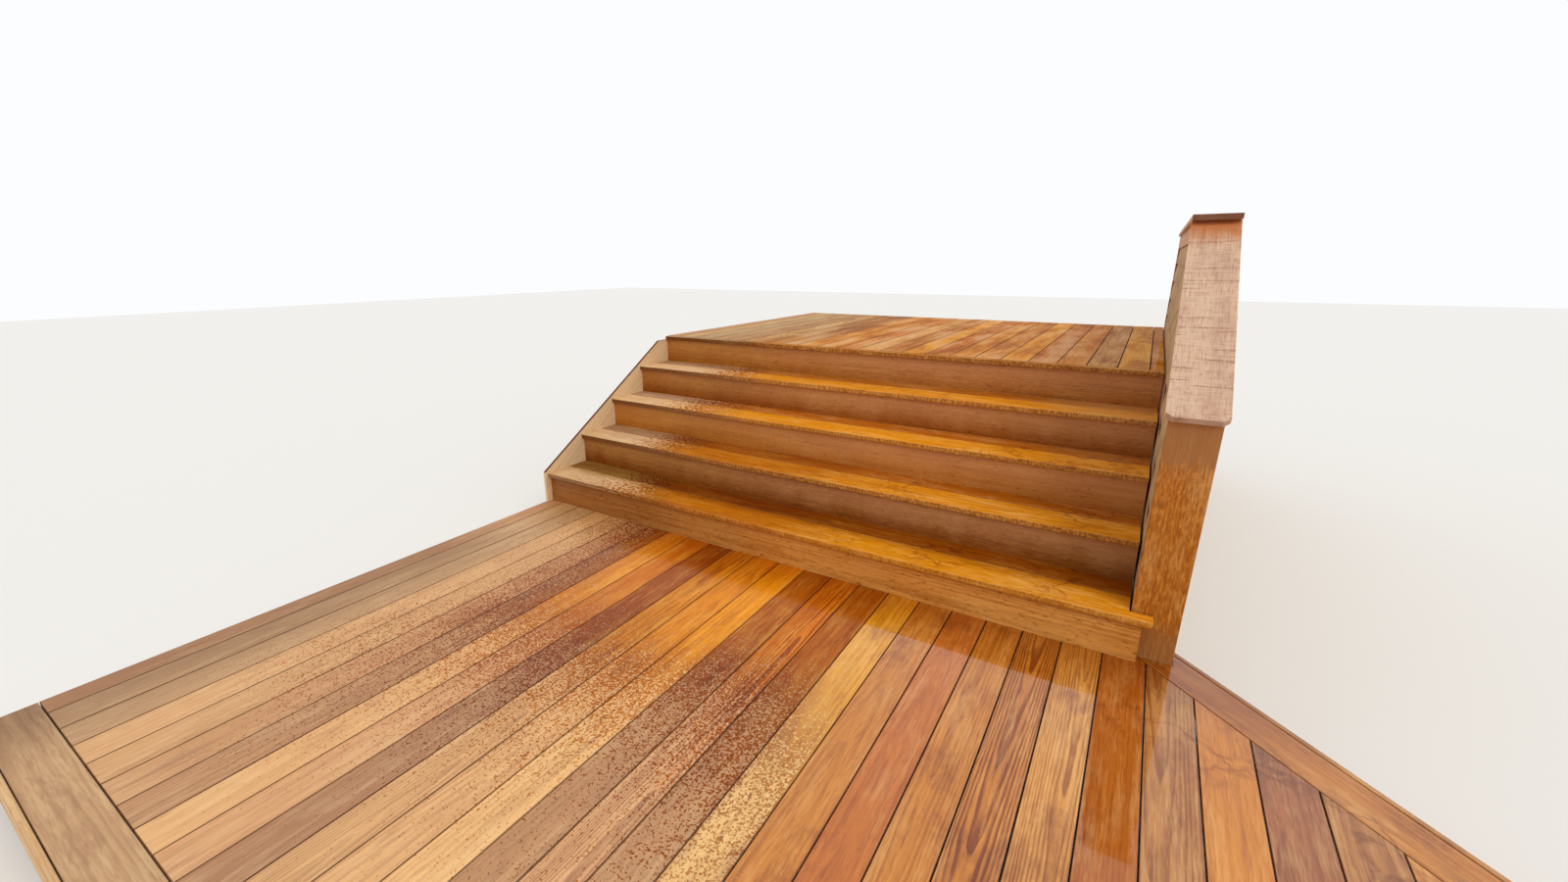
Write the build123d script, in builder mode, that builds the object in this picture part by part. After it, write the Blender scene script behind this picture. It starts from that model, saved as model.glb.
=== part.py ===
"""Wooden deck stairs: a wide five-riser flight between a low deck and a high deck.

A skirt board closes the left end and a capped cheek wall the right end; the
cheek wall runs on as a parapet beside the high deck. Millimetres, +Z up. The
flight climbs along +Y, and the origin is under the middle of the whole object
at ground level.
"""
import os
from math import ceil, hypot, sqrt

from build123d import *

os.makedirs("parts", exist_ok=True)

# Driving sizes of the flight
riser_count = 5
riser_height = 184
going = 302
nosing = 19
flight_width = 3155
side_clearance = 5
tread_thickness = 25
front_tread_board = 184
tread_joint = 3
riser_thickness = 19
nosing_round = 4
tread_return = 73
riser_return = 41

# Stringers, which carry the treads
stringer_count = 9
stringer_thickness = 38
stringer_board = 286
cleat_height = 38
cleat_depth = 89
hanger_height = 184

# Skirt boards at both ends of the flight
skirt_thickness = 19
skirt_board = 286
skirt_above_nosings = 22
skirt_front_overhang = 38

# Deck boards and frames
board_width = 140
board_thickness = 25
board_gap = 3
first_joint = 90
mitre_joint = 2
edge_strip_width = 50
frame_thickness = 38
joist_spacing = 406
joist_bays = 6
post_side = 89
low_deck_height = 250
low_joist_depth = 140
low_posts_across = 3
high_joist_depth = 184
deck_under_flight = 340
fascia_thickness = 19
fascia_height = 184
fascia_joint = 3
diagonal_back = 165
diagonal_run = 1375

# Cheek wall and parapet
wall_setback = 50
stud_depth = 89
stud_width = 38
plate_height = 38
sheathing_thickness = 12
cladding_thickness = 22.5
cladding_top = 6
cladding_exposure = 127
cladding_ground_gap = 20
cladding_joint = 3
frieze_thickness = 19
end_board_thickness = 19
frieze_height = 89
cap_width = 184
cap_thickness = 25
cap_above_nosings = 737
cap_above_deck = 725
cap_front_overhang = 30
cap_corner = 19
level_cap_lap = 45
wall_clearance = 3
notch_clearance = 12

# Levels
z_low = low_deck_height
rise = riser_count * riser_height
z_high = z_low + rise
z_treads = [z_low + step * riser_height for step in range(riser_count + 1)]

# Plan: lengths along the flight and across it
flight_run = (riser_count - 1) * going
deck_bays_length = joist_bays * joist_spacing
low_deck_depth = deck_bays_length
wall_thickness = stud_depth + 2 * sheathing_thickness + 2 * cladding_thickness
cap_overhang = (cap_width - wall_thickness) / 2
high_frame_front = flight_run + riser_thickness
high_frame_back = high_frame_front + frame_thickness + deck_bays_length
wall_back = high_frame_back + end_board_thickness
overall_width = skirt_thickness + flight_width + side_clearance + wall_thickness + diagonal_run
overall_depth = low_deck_depth + wall_back + cap_overhang

x_left = -overall_width / 2
x_flight = x_left + skirt_thickness
x_wall = x_flight + flight_width + side_clearance
x_wall_outer = x_wall + wall_thickness
x_side = x_wall_outer + diagonal_run
x_cap = (x_wall + x_wall_outer) / 2
x_sheathing = x_wall + cladding_thickness
x_studs = x_sheathing + sheathing_thickness
x_sheathing_outer = x_studs + stud_depth
x_cladding_outer = x_sheathing_outer + sheathing_thickness

y_front = -overall_depth / 2
y_riser = y_front + low_deck_depth
y_risers = [y_riser + step * going for step in range(riser_count)]
y_frame = y_riser + high_frame_front
y_frame_back = y_riser + high_frame_back
y_wall = y_riser + wall_setback
y_wall_core = y_wall + end_board_thickness
y_wall_back = y_riser + wall_back
y_core_back = y_wall_back - end_board_thickness

# The pitch line runs through the front top edges of the nosings
slope = riser_height / going
plumb = hypot(going, riser_height) / going


def pitch_line(y):
    """Height of the nosings' pitch line at y."""
    return z_low + riser_height + slope * (y - y_riser + nosing)


def pitch_y(z):
    """Where the pitch line reaches the height z."""
    return y_riser - nosing + (z - z_low - riser_height) / slope


def wall_line(drop):
    """Top of the cheek wall, dropped square to its own slope or level: front, knee and back points."""
    sloped = cap_above_nosings - drop * plumb
    level = z_high + cap_above_deck - drop
    knee = pitch_y(level - sloped)
    return [
        (y_wall_core, pitch_line(y_wall_core) + sloped),
        (knee, level),
        (y_core_back, level),
    ]


# Treads: two boards each, the front one with a rounded nosing
for step in range(1, riser_count):
    tread_front = y_risers[step - 1] - nosing
    tread_back = y_risers[step]
    joint = tread_front + front_tread_board
    with BuildPart() as tread:
        with BuildSketch(Plane.YZ.offset(x_flight)):
            with BuildLine():
                Polyline(
                    (tread_front, z_treads[step] - tread_thickness),
                    (joint, z_treads[step] - tread_thickness),
                    (joint, z_treads[step]),
                    (tread_front, z_treads[step]),
                    close=True,
                )
            make_face()
            with BuildLine():
                Polyline(
                    (joint + tread_joint, z_treads[step] - tread_thickness),
                    (tread_back, z_treads[step] - tread_thickness),
                    (tread_back, z_treads[step]),
                    (joint + tread_joint, z_treads[step]),
                    close=True,
                )
            make_face()
        extrude(amount=flight_width)
        if step == 1:
            # The first tread is notched round the wall's front corner and returns past it
            return_depth = y_wall - notch_clearance - tread_front
            with BuildSketch(Plane.XY.offset(z_treads[step] - tread_thickness)):
                with Locations((x_flight + flight_width, tread_front)):
                    Rectangle(side_clearance + tread_return, return_depth, align=(Align.MIN, Align.MIN))
            extrude(amount=tread_thickness)
        nose = tread.edges().filter_by(Axis.X).group_by(Axis.Y)[0]
        fillet(nose, radius=nosing_round)
    tread.part.label = f"tread_{step}"
    export_step(tread.part, f"parts/tread_{step}.step")

# Risers: each stands on the notch behind the tread below and stops under the next tread
for step in range(riser_count):
    foot = z_low if step == 0 else z_treads[step] - tread_thickness
    head = z_treads[step + 1] - (tread_thickness if step < riser_count - 1 else board_thickness)
    reach = flight_width + (side_clearance + riser_return if step == 0 else 0)
    with BuildPart() as riser:
        with BuildSketch(Plane.XY.offset(foot)):
            with Locations((x_flight, y_risers[step])):
                Rectangle(reach, riser_thickness, align=(Align.MIN, Align.MIN))
        extrude(amount=head - foot)
    riser.part.label = f"riser_{step + 1}"
    export_step(riser.part, f"parts/riser_{step + 1}.step")

# Stringers: planks cut out in steps, with a level foot on the low deck and a plumb head
notch_drop = stringer_board * plumb
stringer_foot = y_riser + riser_thickness + (notch_drop - riser_height + tread_thickness) / slope
stringer_heel = z_treads[riser_count - 1] - tread_thickness + riser_height - notch_drop
stringer_span = flight_width - stringer_thickness
with BuildPart() as stringers:
    with BuildSketch(Plane.YZ.offset(x_flight)):
        with BuildLine():
            outline = [(stringer_foot, z_low), (y_riser + riser_thickness, z_low)]
            for step in range(1, riser_count):
                seat = z_treads[step] - tread_thickness
                outline.append((y_risers[step - 1] + riser_thickness, seat))
                outline.append((y_risers[step] + riser_thickness, seat))
            outline.append((y_frame, stringer_heel))
            Polyline(*outline, close=True)
        make_face()
        with BuildLine():
            cleat_back = y_riser + riser_thickness + cleat_depth
            Polyline(
                (y_riser + riser_thickness, z_low),
                (cleat_back, z_low),
                (cleat_back, z_low + cleat_height),
                (y_riser + riser_thickness, z_low + cleat_height),
                close=True,
            )
        make_face(mode=Mode.SUBTRACT)
    stringer = extrude(amount=stringer_thickness, mode=Mode.PRIVATE)
    pitch = stringer_span / (stringer_count - 1)
    with Locations([(i * pitch, 0, 0) for i in range(stringer_count)]):
        add(stringer)
stringers.part.label = "stringers"
export_step(stringers.part, "parts/stringers.step")

# Kick cleat: a flat board on the low deck that the stringers are notched over
with BuildPart() as kick_cleat:
    with BuildSketch(Plane.XY.offset(z_low)):
        with Locations((x_flight, y_riser + riser_thickness)):
            Rectangle(flight_width, cleat_depth, align=(Align.MIN, Align.MIN))
    extrude(amount=cleat_height)
kick_cleat.part.label = "kick_cleat"
export_step(kick_cleat.part, "parts/kick_cleat.step")

# Hanger board: carries the stringers' heads under the high deck's front rim
z_high_frame = z_high - board_thickness - high_joist_depth
with BuildPart() as hanger_board:
    with BuildSketch(Plane.XY.offset(z_high_frame)):
        with Locations((x_flight, y_frame)):
            Rectangle(flight_width, frame_thickness, align=(Align.MIN, Align.MIN))
    extrude(amount=-hanger_height)
hanger_board.part.label = "hanger_board"
export_step(hanger_board.part, "parts/hanger_board.step")

# Left skirt board: a plank along the flight with a plumb front end on the low deck
skirt_front = y_riser - skirt_front_overhang
with BuildPart() as left_skirt_board:
    with BuildSketch(Plane.YZ.offset(x_left)):
        with BuildLine():
            skirt_top_front = pitch_line(skirt_front) + skirt_above_nosings
            skirt_top_back = pitch_line(y_frame) + skirt_above_nosings
            skirt_end_top = z_high - board_thickness
            skirt_top_end = pitch_y(skirt_end_top - skirt_above_nosings)
            skirt_heel = skirt_top_back - skirt_board * plumb
            skirt_toe = y_frame - (skirt_heel - z_low) / slope
            Polyline(
                (skirt_front, z_low),
                (skirt_toe, z_low),
                (y_frame, skirt_heel),
                (y_frame, skirt_end_top),
                (skirt_top_end, skirt_end_top),
                (skirt_front, skirt_top_front),
                close=True,
            )
        make_face()
    extrude(amount=skirt_thickness)
left_skirt_board.part.label = "left_skirt_board"
export_step(left_skirt_board.part, "parts/left_skirt_board.step")


def low_deck_edge(inset):
    """Corners of the low deck's open edge, moved in by inset, and its diagonal's sum of x and y."""
    diagonal = x_wall_outer + y_riser + diagonal_back - inset * sqrt(2)
    side = x_side - inset
    front = y_front + inset
    return [(side, diagonal - side), (side, front), (x_left, front)], diagonal


def low_frame(inset):
    """Outline of the low deck's frame inside its fascia, moved in by inset."""
    corners, diagonal = low_deck_edge(fascia_thickness + inset)
    back = y_low_back - inset
    stop = y_deck_stop - inset
    return [
        (x_left + inset, back),
        (x_deck_stop - inset, back),
        (x_deck_stop - inset, stop),
        (diagonal - stop, stop),
        corners[0],
        corners[1],
        (x_left + inset, corners[2][1]),
    ]


def mitred(outer, inner):
    """Four corners of a board between two outlines, its ends cut back by half a mitre joint."""
    run = hypot(outer[1][0] - outer[0][0], outer[1][1] - outer[0][1])
    dx = (outer[1][0] - outer[0][0]) / run * mitre_joint / 2
    dy = (outer[1][1] - outer[0][1]) / run * mitre_joint / 2
    starts = [(x + dx, y + dy) for x, y in (inner[0], outer[0])]
    ends = [(x - dx, y - dy) for x, y in (outer[1], inner[1])]
    return starts + ends


y_low_back = y_riser + deck_under_flight
y_deck_stop = y_wall - wall_clearance
x_deck_stop = x_wall - wall_clearance
x_edge_start = x_wall_outer + wall_clearance
border_outer = fascia_thickness + fascia_joint
border_inner = border_outer + board_width
board_pitch = board_width + board_gap
z_low_boards = z_low - board_thickness
z_low_frame = z_low_boards - low_joist_depth

# Low deck boards: run along Y inside the border, cut round the cheek wall
field_corners, field_diagonal = low_deck_edge(border_inner + board_gap)
low_board_count = ceil((x_side - x_flight - first_joint) / board_pitch) + 1
with BuildPart() as low_deck_boards:
    with BuildSketch(Plane.XY.offset(z_low_boards)):
        for board in range(low_board_count):
            left = x_flight + first_joint + (board - 1) * board_pitch + board_gap / 2
            with Locations((left, y_front)):
                Rectangle(board_width, low_deck_depth + deck_under_flight, align=(Align.MIN, Align.MIN))
        with BuildSketch(mode=Mode.INTERSECT):
            with BuildLine():
                Polyline(
                    (x_left, y_low_back),
                    (x_deck_stop, y_low_back),
                    (x_deck_stop, y_deck_stop),
                    (field_diagonal - y_deck_stop, y_deck_stop),
                    *field_corners,
                    close=True,
                )
            make_face()
    extrude(amount=board_thickness)
low_deck_boards.part.label = "low_deck_boards"
export_step(low_deck_boards.part, "parts/low_deck_boards.step")

# Low deck border: mitred boards along the diagonal, the side and the front
outer_corners, outer_diagonal = low_deck_edge(border_outer)
inner_corners, inner_diagonal = low_deck_edge(border_inner)
with BuildPart() as low_deck_border:
    with BuildSketch(Plane.XY.offset(z_low_boards)):
        with BuildLine():
            Polyline(
                (inner_diagonal - y_deck_stop, y_deck_stop),
                (x_edge_start, y_deck_stop),
                (x_edge_start, outer_diagonal - x_edge_start),
                (outer_corners[0][0] - mitre_joint / 2, outer_corners[0][1] + mitre_joint / 2),
                (inner_corners[0][0] - mitre_joint / 2, inner_corners[0][1] + mitre_joint / 2),
                close=True,
            )
        make_face()
        for start in (0, 1):
            with BuildLine():
                Polyline(
                    *mitred(outer_corners[start:start + 2], inner_corners[start:start + 2]),
                    close=True,
                )
            make_face()
    extrude(amount=board_thickness)
low_deck_border.part.label = "low_deck_border"
export_step(low_deck_border.part, "parts/low_deck_border.step")

# Low deck fascia: upright boards that cover the ends of the border and the rims
fascia_corners, fascia_diagonal = low_deck_edge(0)
backing_corners, backing_diagonal = low_deck_edge(fascia_thickness)
fascia_outline = [(x_edge_start, fascia_diagonal - x_edge_start)] + fascia_corners
backing_outline = [(x_edge_start, backing_diagonal - x_edge_start)] + backing_corners
with BuildPart() as low_deck_fascia:
    with BuildSketch(Plane.XY.offset(z_low - fascia_height)):
        for start in range(3):
            with BuildLine():
                Polyline(
                    *mitred(fascia_outline[start:start + 2], backing_outline[start:start + 2]),
                    close=True,
                )
            make_face()
    extrude(amount=fascia_height)
low_deck_fascia.part.label = "low_deck_fascia"
export_step(low_deck_fascia.part, "parts/low_deck_fascia.step")

# Low deck rims: planks on edge all round the frame, also beside the cheek wall
rim_outer = low_frame(0)
rim_inner = low_frame(frame_thickness)
with BuildPart() as low_deck_rims:
    with BuildSketch(Plane.XY.offset(z_low_frame)):
        for start in range(len(rim_outer)):
            end = (start + 1) % len(rim_outer)
            with BuildLine():
                Polyline(
                    *mitred([rim_outer[start], rim_outer[end]], [rim_inner[start], rim_inner[end]]),
                    close=True,
                )
            make_face()
    extrude(amount=low_joist_depth)
low_deck_rims.part.label = "low_deck_rims"
export_step(low_deck_rims.part, "parts/low_deck_rims.step")

# Low deck joists: across the boards, their right ends cut to the diagonal rim
y_low_rim = y_front + fascia_thickness
with BuildPart() as low_deck_joists:
    with BuildSketch(Plane.XY.offset(z_low_frame)):
        for bay in range(1, joist_bays + 1):
            with Locations((x_left, y_low_rim + bay * joist_spacing)):
                Rectangle(overall_width, frame_thickness, align=(Align.MIN, Align.MIN))
        with BuildSketch(mode=Mode.INTERSECT):
            with BuildLine():
                Polyline(*rim_inner, close=True)
            make_face()
    extrude(amount=low_joist_depth)
low_deck_joists.part.label = "low_deck_joists"
export_step(low_deck_joists.part, "parts/low_deck_joists.step")

# Low deck posts: short posts on the ground, each against a rim or a joist
column_pitch = (x_deck_stop - x_left - 2 * frame_thickness - post_side) / (low_posts_across - 1)
low_columns = [x_left + frame_thickness + i * column_pitch for i in range(low_posts_across)]
low_rows = [
    y_low_rim + frame_thickness,
    y_low_rim + joist_bays // 2 * joist_spacing - post_side,
    y_low_back - frame_thickness - post_side,
]
side_column = x_side - fascia_thickness - frame_thickness - post_side
low_post_places = [(x, y) for x in low_columns for y in low_rows]
low_post_places.append((side_column, low_rows[0]))
low_post_places.append((side_column, rim_inner[4][1] - post_side))
low_post_places.append((x_wall, rim_inner[3][1] - post_side))
with BuildPart() as low_deck_posts:
    with BuildSketch(Plane.XY):
        with Locations(low_post_places):
            Rectangle(post_side, post_side, align=(Align.MIN, Align.MIN))
    extrude(amount=z_low_boards)
low_deck_posts.part.label = "low_deck_posts"
export_step(low_deck_posts.part, "parts/low_deck_posts.step")

# High deck: a narrow edge strip over the top riser, then boards along Y
y_edge_strip = y_risers[-1] - nosing
y_high_boards = y_edge_strip + edge_strip_width + board_gap
z_high_boards = z_high - board_thickness
with BuildPart() as high_deck_edge_strip:
    with BuildSketch(Plane.XY.offset(z_high_boards)):
        with Locations((x_flight, y_edge_strip)):
            Rectangle(flight_width, edge_strip_width, align=(Align.MIN, Align.MIN))
    extrude(amount=board_thickness)
    nose = high_deck_edge_strip.edges().filter_by(Axis.X).group_by(Axis.Y)[0]
    fillet(nose, radius=nosing_round)
high_deck_edge_strip.part.label = "high_deck_edge_strip"
export_step(high_deck_edge_strip.part, "parts/high_deck_edge_strip.step")

high_board_count = ceil((flight_width - first_joint) / board_pitch) + 1
with BuildPart() as high_deck_boards:
    with BuildSketch(Plane.XY.offset(z_high_boards)):
        for board in range(high_board_count):
            left = x_flight + first_joint + (board - 1) * board_pitch + board_gap / 2
            with Locations((left, y_high_boards)):
                Rectangle(board_width, y_frame_back - y_high_boards, align=(Align.MIN, Align.MIN))
        with BuildSketch(mode=Mode.INTERSECT):
            with Locations((x_left, y_high_boards)):
                Rectangle(
                    skirt_thickness + flight_width,
                    y_frame_back - y_high_boards,
                    align=(Align.MIN, Align.MIN),
                )
    extrude(amount=board_thickness)
high_deck_boards.part.label = "high_deck_boards"
export_step(high_deck_boards.part, "parts/high_deck_boards.step")

# High deck rims at the front and back, and ledgers along the left side and on the wall
x_joist_start = x_left + frame_thickness
x_joist_end = x_sheathing - frame_thickness
with BuildPart() as high_deck_rims:
    with BuildSketch(Plane.XY.offset(z_high_frame)):
        with Locations((x_joist_start, y_frame), (x_joist_start, y_frame_back - frame_thickness)):
            Rectangle(x_joist_end - x_joist_start, frame_thickness, align=(Align.MIN, Align.MIN))
    extrude(amount=high_joist_depth)
high_deck_rims.part.label = "high_deck_rims"
export_step(high_deck_rims.part, "parts/high_deck_rims.step")

with BuildPart() as high_deck_ledgers:
    with BuildSketch(Plane.XY.offset(z_high_frame)):
        with Locations((x_left, y_frame), (x_joist_end, y_frame)):
            Rectangle(frame_thickness, y_frame_back - y_frame, align=(Align.MIN, Align.MIN))
    extrude(amount=high_joist_depth)
high_deck_ledgers.part.label = "high_deck_ledgers"
export_step(high_deck_ledgers.part, "parts/high_deck_ledgers.step")

with BuildPart() as high_deck_joists:
    with BuildSketch(Plane.XY.offset(z_high_frame)):
        with Locations([(x_joist_start, y_frame + bay * joist_spacing) for bay in range(1, joist_bays)]):
            Rectangle(x_joist_end - x_joist_start, frame_thickness, align=(Align.MIN, Align.MIN))
    extrude(amount=high_joist_depth)
high_deck_joists.part.label = "high_deck_joists"
export_step(high_deck_joists.part, "parts/high_deck_joists.step")

# High deck posts: from the ground to the boards, against the rims and a middle joist
high_columns = [x_joist_start, (x_joist_start + x_joist_end - post_side) / 2]
high_rows = [
    y_frame + frame_thickness,
    y_frame + joist_bays // 2 * joist_spacing - post_side,
    y_frame_back - frame_thickness - post_side,
]
with BuildPart() as high_deck_posts:
    with BuildSketch(Plane.XY):
        with Locations([(x, y) for x in high_columns for y in high_rows]):
            Rectangle(post_side, post_side, align=(Align.MIN, Align.MIN))
    extrude(amount=z_high_boards)
high_deck_posts.part.label = "high_deck_posts"
export_step(high_deck_posts.part, "parts/high_deck_posts.step")


def wall_outline(drop, foot):
    """Side view of the cheek wall and parapet below their dropped top line."""
    top = wall_line(drop)
    return [(top[0][0], foot), top[0], top[1], top[2], (top[2][0], foot)]


def wall_band(drop, depth, part):
    """Side view of a board of some depth under the top line, along its sloped or its level part."""
    upper = wall_line(drop)
    lower = wall_line(drop + depth)
    half = mitre_joint / 2
    if part == "sloped":
        knees = [(y - half, z - slope * half) for y, z in (upper[1], lower[1])]
        return [lower[0], upper[0]] + knees
    return [(lower[1][0] + half, lower[1][1]), (upper[1][0] + half, upper[1][1]), upper[2], lower[2]]


# Cheek wall frame: a bottom plate, studs under a sloped and a level top plate
with BuildPart() as wall_bottom_plate:
    with BuildSketch(Plane.XY):
        with Locations((x_studs, y_wall_core)):
            Rectangle(stud_depth, y_core_back - y_wall_core, align=(Align.MIN, Align.MIN))
    extrude(amount=plate_height)
wall_bottom_plate.part.label = "wall_bottom_plate"
export_step(wall_bottom_plate.part, "parts/wall_bottom_plate.step")

with BuildPart() as wall_top_plates:
    with BuildSketch(Plane.YZ.offset(x_studs)):
        for part in ("sloped", "level"):
            with BuildLine():
                Polyline(*wall_band(cap_thickness, plate_height, part), close=True)
            make_face()
    extrude(amount=stud_depth)
wall_top_plates.part.label = "wall_top_plates"
export_step(wall_top_plates.part, "parts/wall_top_plates.step")

wall_length = y_core_back - y_wall_core
stud_bays = ceil((wall_length - stud_width) / joist_spacing)
stud_pitch = (wall_length - stud_width) / stud_bays
with BuildPart() as wall_studs:
    with BuildSketch(Plane.YZ.offset(x_studs)):
        for stud in range(stud_bays + 1):
            with Locations((y_wall_core + stud * stud_pitch, plate_height)):
                Rectangle(stud_width, z_high + cap_above_deck, align=(Align.MIN, Align.MIN))
        with BuildSketch(mode=Mode.INTERSECT):
            with BuildLine():
                Polyline(*wall_outline(cap_thickness + plate_height, plate_height), close=True)
            make_face()
    extrude(amount=stud_depth)
wall_studs.part.label = "wall_studs"
export_step(wall_studs.part, "parts/wall_studs.step")

# Sheathing on both sides of the frame
for name, x_face in (("inner", x_sheathing), ("outer", x_sheathing_outer)):
    with BuildPart() as wall_sheathing:
        with BuildSketch(Plane.YZ.offset(x_face)):
            with BuildLine():
                Polyline(*wall_outline(cap_thickness, 0), close=True)
            make_face()
        extrude(amount=sheathing_thickness)
    wall_sheathing.part.label = f"wall_sheathing_{name}"
    export_step(wall_sheathing.part, f"parts/wall_sheathing_{name}.step")

# Shingle cladding: courses that taper from the butt to the top, each lapped by the next
course_drop = cap_thickness + frieze_height + cladding_joint
y_cladding = y_wall_core + cladding_joint
course_count = ceil((z_high + cap_above_deck) / cladding_exposure)


def cladding_profile(x_back, side):
    """Section of lapped courses on a wall face, side being -1 or 1 for the way they face."""
    points = [(x_back, cladding_ground_gap)]
    for course in range(course_count):
        butt = cladding_ground_gap + course * cladding_exposure
        points.append((x_back + side * cladding_thickness, butt))
        points.append((x_back + side * cladding_top, butt + cladding_exposure))
    points.append((x_back, cladding_ground_gap + course_count * cladding_exposure))
    return points


skirt_lap_line = skirt_above_nosings + cladding_joint
cladding_sides = {
    "inner": (x_sheathing, -1, [
        (y_cladding, pitch_line(y_cladding) + skirt_lap_line),
        (pitch_y(z_high + cladding_joint - skirt_lap_line), z_high + cladding_joint),
        (y_core_back - cladding_joint, z_high + cladding_joint),
    ]),
    "outer": (x_cladding_outer, 1, [
        (y_cladding, cladding_ground_gap),
        (y_core_back - cladding_joint, cladding_ground_gap),
    ]),
}
for name, (x_back, side, foot_line) in cladding_sides.items():
    top = wall_line(course_drop)
    with BuildPart() as cladding:
        with BuildSketch(Plane.XZ.offset(-y_wall_core)):
            with BuildLine():
                Polyline(*cladding_profile(x_back, side), close=True)
            make_face()
        extrude(amount=-wall_length)
        with BuildSketch(Plane.YZ.offset(x_back - cladding_thickness)):
            with BuildLine():
                Polyline(
                    *foot_line,
                    (y_core_back - cladding_joint, top[2][1]),
                    top[1],
                    (y_cladding, top[0][1] + slope * cladding_joint),
                    close=True,
                )
            make_face()
        extrude(amount=2 * cladding_thickness, mode=Mode.INTERSECT)
    cladding.part.label = f"cladding_{name}"
    export_step(cladding.part, f"parts/cladding_{name}.step")

# Frieze boards under the caps on both sides
for name, x_face in (("inner", x_sheathing - frieze_thickness), ("outer", x_cladding_outer)):
    with BuildPart() as frieze:
        with BuildSketch(Plane.YZ.offset(x_face)):
            for part in ("sloped", "level"):
                with BuildLine():
                    Polyline(*wall_band(cap_thickness, frieze_height, part), close=True)
                make_face()
        extrude(amount=frieze_thickness)
    frieze.part.label = f"frieze_{name}"
    export_step(frieze.part, f"parts/frieze_{name}.step")

# Right skirt board: on the sheathing, in line with the left one
with BuildPart() as right_skirt_board:
    with BuildSketch(Plane.YZ.offset(x_sheathing - skirt_thickness)):
        with BuildLine():
            Polyline(
                (y_wall_core, z_low),
                (skirt_toe, z_low),
                (y_frame, skirt_heel),
                (y_frame, skirt_end_top),
                (skirt_top_end, skirt_end_top),
                (y_wall_core, pitch_line(y_wall_core) + skirt_above_nosings),
                close=True,
            )
        make_face()
    extrude(amount=skirt_thickness)
right_skirt_board.part.label = "right_skirt_board"
export_step(right_skirt_board.part, "parts/right_skirt_board.step")

# End boards: full width of the wall, cut under the caps
for name, y_face in (("front", y_wall), ("rear", y_core_back)):
    end_sloped = pitch_line(y_face) + cap_above_nosings - cap_thickness * plumb
    end_top = min(end_sloped, z_high + cap_above_deck - cap_thickness)
    with BuildPart() as end_board:
        with BuildSketch(Plane.XY):
            with Locations((x_wall, y_face)):
                Rectangle(wall_thickness, end_board_thickness, align=(Align.MIN, Align.MIN))
        extrude(amount=end_top)
    end_board.part.label = f"wall_{name}_board"
    export_step(end_board.part, f"parts/wall_{name}_board.step")

# Sloped cap: square at its low end with clipped corners, cut level under the level cap
z_cap_under = z_high + cap_above_deck - cap_thickness
cap_front = y_wall - cap_front_overhang
cap_front_top = pitch_line(cap_front) + cap_above_nosings
cap_step_back = cap_thickness * slope / plumb
cap_step_down = cap_thickness / plumb
with BuildPart() as sloped_cap:
    with BuildSketch(Plane.YZ.offset(x_cap - cap_width / 2)):
        with BuildLine():
            Polyline(
                (cap_front, cap_front_top),
                (pitch_y(z_cap_under - cap_above_nosings), z_cap_under),
                (pitch_y(z_cap_under - cap_above_nosings + cap_thickness * plumb), z_cap_under),
                (cap_front + cap_step_back, cap_front_top - cap_step_down),
                close=True,
            )
        make_face()
    extrude(amount=cap_width)
    low_end = sloped_cap.faces().sort_by(Axis.Y)[0]
    corners = [edge for edge in low_end.edges() if edge.length < cap_thickness + 1]
    chamfer(corners, length=cap_corner)
sloped_cap.part.label = "sloped_cap"
export_step(sloped_cap.part, "parts/sloped_cap.step")

# Level cap: laps over the head of the sloped cap and runs to the back of the parapet
level_cap_front = pitch_y(z_cap_under - cap_above_nosings) - level_cap_lap
with BuildPart() as level_cap:
    with BuildSketch(Plane.XY.offset(z_cap_under)):
        with Locations((x_cap, level_cap_front)):
            Rectangle(
                cap_width,
                y_wall_back + cap_overhang - level_cap_front,
                align=(Align.CENTER, Align.MIN),
            )
    extrude(amount=cap_thickness)
level_cap.part.label = "level_cap"
export_step(level_cap.part, "parts/level_cap.step")
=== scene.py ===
# %% [markdown]
# # Wooden deck stairs after rain
# A wide flight climbs from a low deck to a high deck. A skirt board closes its left end and a
# shingled cheek wall its right end. The CAD frame already has every board at its real size, so
# this lesson gives the boards what a saw, a router and the weather give them: eased edges, grain,
# tone, a film of water and drops.

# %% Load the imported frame
import math
import random
from functools import cached_property

import bmesh
import bpy
import numpy as np
from mathutils import Matrix, Vector


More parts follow.
